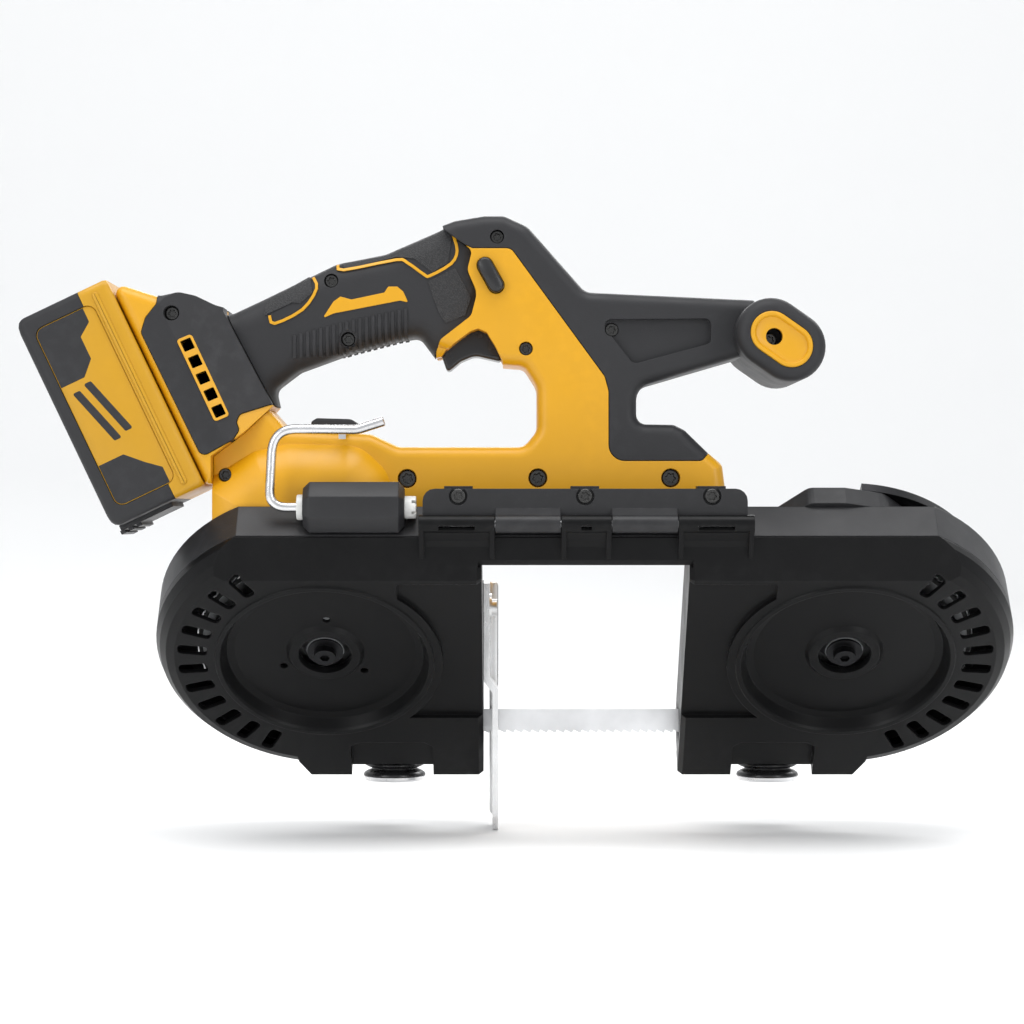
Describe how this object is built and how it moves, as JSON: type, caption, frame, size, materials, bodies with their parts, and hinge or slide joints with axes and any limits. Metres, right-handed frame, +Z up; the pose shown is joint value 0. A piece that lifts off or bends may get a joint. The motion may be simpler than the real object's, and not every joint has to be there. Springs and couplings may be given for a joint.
{
  "type": "portable band saw",
  "caption": "Hand held battery band saw: leaning wheel housing with hinged cover, open throat with blade and shoe, D grip, crosswise front bar and fold-out hook.",
  "frame": {"origin": "centre of the bounding box at its base, the level of the shoe tip", "axes": "+X along the saw from the battery to the front bar, +Y away from the cover, +Z up"},
  "size_m": [0.5016, 0.154, 0.3155],
  "materials": {
    "frame_metal": "dark grey satin enamel on a casting",
    "cover_plastic": "dark grey moulding, fine texture",
    "steel": "ground steel",
    "zinc_steel": "bright zinc plating",
    "dark_steel": "black oxide",
    "wheel_alloy": "machined casting",
    "tyre_rubber": "matt",
    "shell_yellow": "yellow moulding, fine texture",
    "shell_black": "black moulding",
    "grip_rubber": "soft black overmould",
    "knob_plastic": "dark glossy moulding",
    "spring_wire": "spring steel",
    "bushing_white": "white low friction plastic",
    "board_green": "coated board",
    "cell_wrap": "cell wrap",
    "panel_yellow": "yellow panel",
    "contact_brass": "plated"
  },
  "bodies": {
    "root": {"wheel_frame": "frame_metal", "hinge_bracket": "frame_metal", "bracket_screws": "dark_steel", "hinge_pin": "steel", "motor_stator": "dark_steel", "shaft_bearings": "steel", "rotor_bearings": "steel", "gear_case": "wheel_alloy", "tension_housing": "frame_metal", "blade": "steel", "blade_guides": "steel", "shoe_screw": "steel", "body_shell_near": "shell_yellow", "body_shell_far": "shell_yellow", "grip_near": "grip_rubber", "grip_far": "grip_rubber", "foot_near": "shell_yellow", "foot_far": "shell_yellow", "spine_near": "shell_black", "spine_far": "shell_black", "front_bar": "grip_rubber", "bar_caps": "shell_yellow", "shell_screws": "dark_steel", "body_bolts": "dark_steel", "trigger_switch": "shell_black", "control_board": "board_green", "terminal_block": "shell_black", "hook_housing": "frame_metal", "hook_bushings": "bushing_white", "hook_clip": "zinc_steel", "top_pad": "grip_rubber"},
    "cover": {"wheel_cover": "cover_plastic"},
    "latch_left": {"latch_knob_left": "knob_plastic"},
    "latch_right": {"latch_knob_right": "knob_plastic"},
    "drive": {"drive_wheel": "wheel_alloy", "drive_tyre": "tyre_rubber", "drive_bolt": "dark_steel", "drive_shaft": "steel", "output_gear": "steel"},
    "middle": {"middle_gear": "steel"},
    "rotor": {"motor_rotor": "steel"},
    "carriage": {"idler_carriage": "steel", "tension_spring": "spring_wire", "idler_bolt": "dark_steel"},
    "idler": {"idler_wheel": "wheel_alloy", "idler_tyre": "tyre_rubber", "idler_bearing": "steel"},
    "rear_roller": {"rear_roller": "steel"},
    "front_roller": {"front_roller": "steel"},
    "lever": {"tension_lever": "dark_steel"},
    "shoe": {"shoe": "steel"},
    "trigger": {"trigger": "knob_plastic"},
    "lock_off": {"lock_off_button": "knob_plastic"},
    "hook": {"hook": "zinc_steel"},
    "battery": {"battery_case": "shell_black", "battery_panels": "panel_yellow", "battery_cells": "cell_wrap", "battery_contacts": "contact_brass"},
    "battery_button": {"battery_button": "knob_plastic"}
  },
  "joints": [
    {"name": "cover_hinge", "type": "hinge", "parent": "root", "child": "cover", "pos_m": [0.03284, -0.0725, 0.1603], "axis": [-1, 0, 0], "range_deg": [0, 105]},
    {"name": "latch_left_turn", "type": "hinge", "parent": "root", "child": "latch_left", "pos_m": [-0.06716, 0.06, 0.0317], "axis": [0, 0, 1], "range_deg": [0, 90]},
    {"name": "latch_right_turn", "type": "hinge", "parent": "root", "child": "latch_right", "pos_m": [0.13284, 0.06, 0.0317], "axis": [0, 0, 1], "range_deg": [0, 90]},
    {"name": "drive_spin", "type": "hinge", "parent": "root", "child": "drive", "pos_m": [-0.09916, -0.0135, 0.102], "axis": [0, -0.7071, -0.7071], "continuous": true},
    {"name": "middle_spin", "type": "hinge", "parent": "root", "child": "middle", "pos_m": [-0.07427, -0.03333, 0.12183], "axis": [0, -0.7071, -0.7071], "continuous": true},
    {"name": "rotor_spin", "type": "hinge", "parent": "root", "child": "rotor", "pos_m": [-0.09516, -0.04603, 0.13453], "axis": [0, -0.7071, -0.7071], "continuous": true},
    {"name": "lever_swing", "type": "hinge", "parent": "root", "child": "lever", "pos_m": [0.13684, -0.04037, 0.12887], "axis": [0, -0.7071, -0.7071], "range_deg": [0, 70]},
    {"name": "carriage_slide", "type": "slide", "parent": "root", "child": "carriage", "axis": [-1, 0, 0], "range_m": [0, 0.0028]},
    {"name": "idler_spin", "type": "hinge", "parent": "carriage", "child": "idler", "pos_m": [0.16484, -0.0135, 0.102], "axis": [0, -0.7071, -0.7071], "continuous": true},
    {"name": "rear_roller_spin", "type": "hinge", "parent": "root", "child": "rear_roller", "pos_m": [-0.03016, 0.03246, 0.06849], "axis": [0, 1, 0], "continuous": true},
    {"name": "front_roller_spin", "type": "hinge", "parent": "root", "child": "front_roller", "pos_m": [0.09434, 0.03246, 0.06849], "axis": [0, 1, 0], "continuous": true},
    {"name": "shoe_slide", "type": "slide", "parent": "root", "child": "shoe", "axis": [0, 0, 1], "range_m": [0, 0.016]},
    {"name": "trigger_pull", "type": "slide", "parent": "root", "child": "trigger", "axis": [-0.45, 0, 0.893], "range_m": [0, 0.006], "stiffness_N_per_m": 800, "springref_m": -0.004},
    {"name": "lock_off_press", "type": "slide", "parent": "root", "child": "lock_off", "axis": [0, 1, 0], "range_m": [0, 0.004], "stiffness_N_per_m": 500, "springref_m": -0.003},
    {"name": "hook_swing", "type": "hinge", "parent": "root", "child": "hook", "pos_m": [-0.08116, -0.0635, 0.1685], "axis": [1, 0, 0], "range_deg": [0, 90]},
    {"name": "battery_slide", "type": "slide", "parent": "root", "child": "battery", "axis": [-0.4305, 0, 0.9026], "range_m": [0, 0.06]},
    {"name": "battery_button_press", "type": "slide", "parent": "battery", "child": "battery_button", "axis": [0.4305, 0, -0.9026], "range_m": [0, 0.0017], "stiffness_N_per_m": 600, "springref_m": -0.001}
  ],
  "couplings": [
    {"joint": "middle_spin", "follows": "drive_spin", "ratio": -4},
    {"joint": "rotor_spin", "follows": "drive_spin", "ratio": 19.2},
    {"joint": "idler_spin", "follows": "drive_spin", "ratio": 1},
    {"joint": "rear_roller_spin", "follows": "drive_spin", "ratio": -10.833},
    {"joint": "front_roller_spin", "follows": "drive_spin", "ratio": -10.833},
    {"joint": "carriage_slide", "follows": "lever_swing", "m_per_rad": 0.00229}
  ]
}
